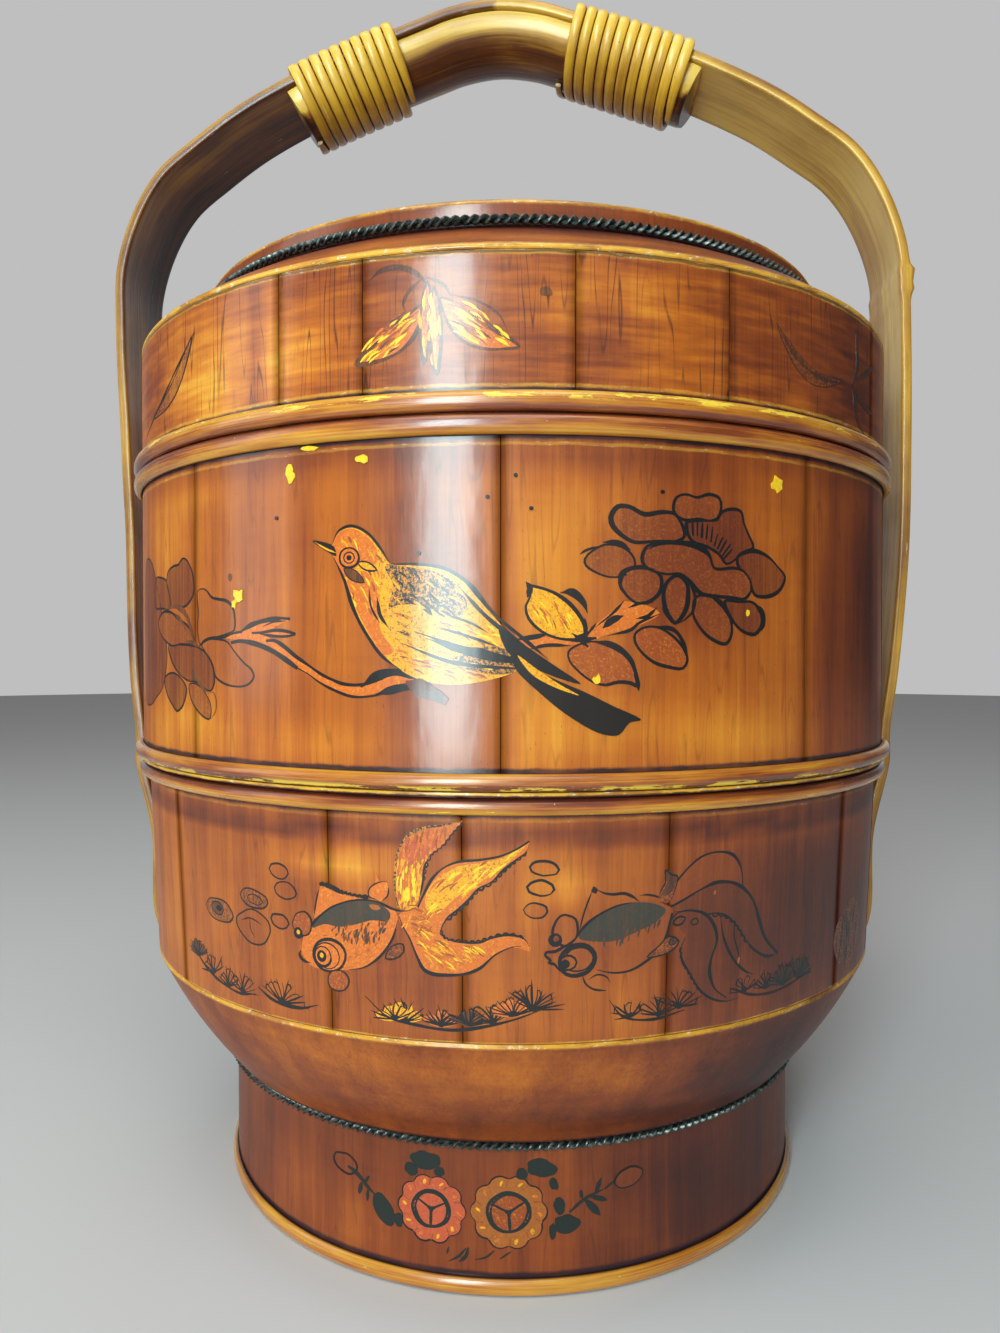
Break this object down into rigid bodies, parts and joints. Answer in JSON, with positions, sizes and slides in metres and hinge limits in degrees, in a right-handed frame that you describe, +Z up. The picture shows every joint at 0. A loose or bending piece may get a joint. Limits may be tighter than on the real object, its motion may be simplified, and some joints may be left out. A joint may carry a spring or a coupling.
{
  "type": "tiered food basket",
  "caption": "Round tiered food basket: footed lower tier with a bevelled base, lift-off tier and collared lid, bamboo hoops and a fixed arched bamboo handle with a cane-lashed grip.",
  "frame": {"origin": "middle of the foot's underside, which stands on the table", "axes": "+Z up along the tiers' axis, +X towards the handle's right leg, -Y towards the painted front"},
  "size_m": [0.2941, 0.2694, 0.418],
  "materials": {
    "lacquered_wood": "translucent red-brown lacquer with vertical grain and brush-drawn ornament",
    "dark_lacquer": "dark red-brown lacquer",
    "bare_wood": "thin brown stain",
    "gilt_bamboo": "worn gold-brown lacquer on split bamboo",
    "blackened_wire": "blackened twisted wire",
    "handle_bamboo": "golden varnish, brown in the folds",
    "cane": "golden varnished split cane"
  },
  "bodies": {
    "base": {"foot_ring": "lacquered_wood", "foot_hoop": "gilt_bamboo", "waist_wire": "blackened_wire", "lower_bevel": "lacquered_wood", "lower_floor": "bare_wood", "lower_stave_01": "lacquered_wood", "lower_stave_02": "lacquered_wood", "lower_stave_03": "lacquered_wood", "lower_stave_04": "lacquered_wood", "lower_stave_05": "lacquered_wood", "lower_stave_06": "lacquered_wood", "lower_stave_07": "lacquered_wood", "lower_stave_08": "lacquered_wood", "lower_stave_09": "lacquered_wood", "lower_stave_10": "lacquered_wood", "lower_stave_11": "lacquered_wood", "lower_stave_12": "lacquered_wood", "lower_lip": "bare_wood", "lower_hoop": "gilt_bamboo", "rim_band": "dark_lacquer", "handle_slat": "handle_bamboo", "grip_pad": "handle_bamboo", "lashing_left": "cane", "lashing_right": "cane", "handle_peg_1": "bare_wood", "handle_peg_2": "bare_wood", "handle_peg_3": "bare_wood", "handle_peg_4": "bare_wood"},
    "upper_tier": {"upper_stave_01": "lacquered_wood", "upper_stave_02": "lacquered_wood", "upper_stave_03": "lacquered_wood", "upper_stave_04": "lacquered_wood", "upper_stave_05": "lacquered_wood", "upper_stave_06": "lacquered_wood", "upper_stave_07": "lacquered_wood", "upper_stave_08": "lacquered_wood", "upper_stave_09": "lacquered_wood", "upper_floor": "bare_wood", "upper_lip": "bare_wood", "upper_mouth_hoop": "gilt_bamboo", "upper_base_hoop": "gilt_bamboo"},
    "lid": {"lid_stave_01": "lacquered_wood", "lid_stave_02": "lacquered_wood", "lid_stave_03": "lacquered_wood", "lid_stave_04": "lacquered_wood", "lid_stave_05": "lacquered_wood", "lid_stave_06": "lacquered_wood", "lid_stave_07": "lacquered_wood", "lid_stave_08": "lacquered_wood", "lid_stave_09": "lacquered_wood", "lid_stave_10": "lacquered_wood", "lid_stave_11": "lacquered_wood", "lid_stave_12": "lacquered_wood", "lid_hoop": "gilt_bamboo", "lid_shoulder": "lacquered_wood", "lid_wire": "blackened_wire", "lid_collar": "lacquered_wood", "lid_board": "lacquered_wood"}
  },
  "joints": [
    {"name": "upper_tier_lift", "type": "slide", "parent": "base", "child": "upper_tier", "axis": [0, 0, 1], "range_m": [0, 0.022]},
    {"name": "lid_lift", "type": "slide", "parent": "upper_tier", "child": "lid", "axis": [0, 0, 1], "range_m": [0, 0.034]}
  ]
}
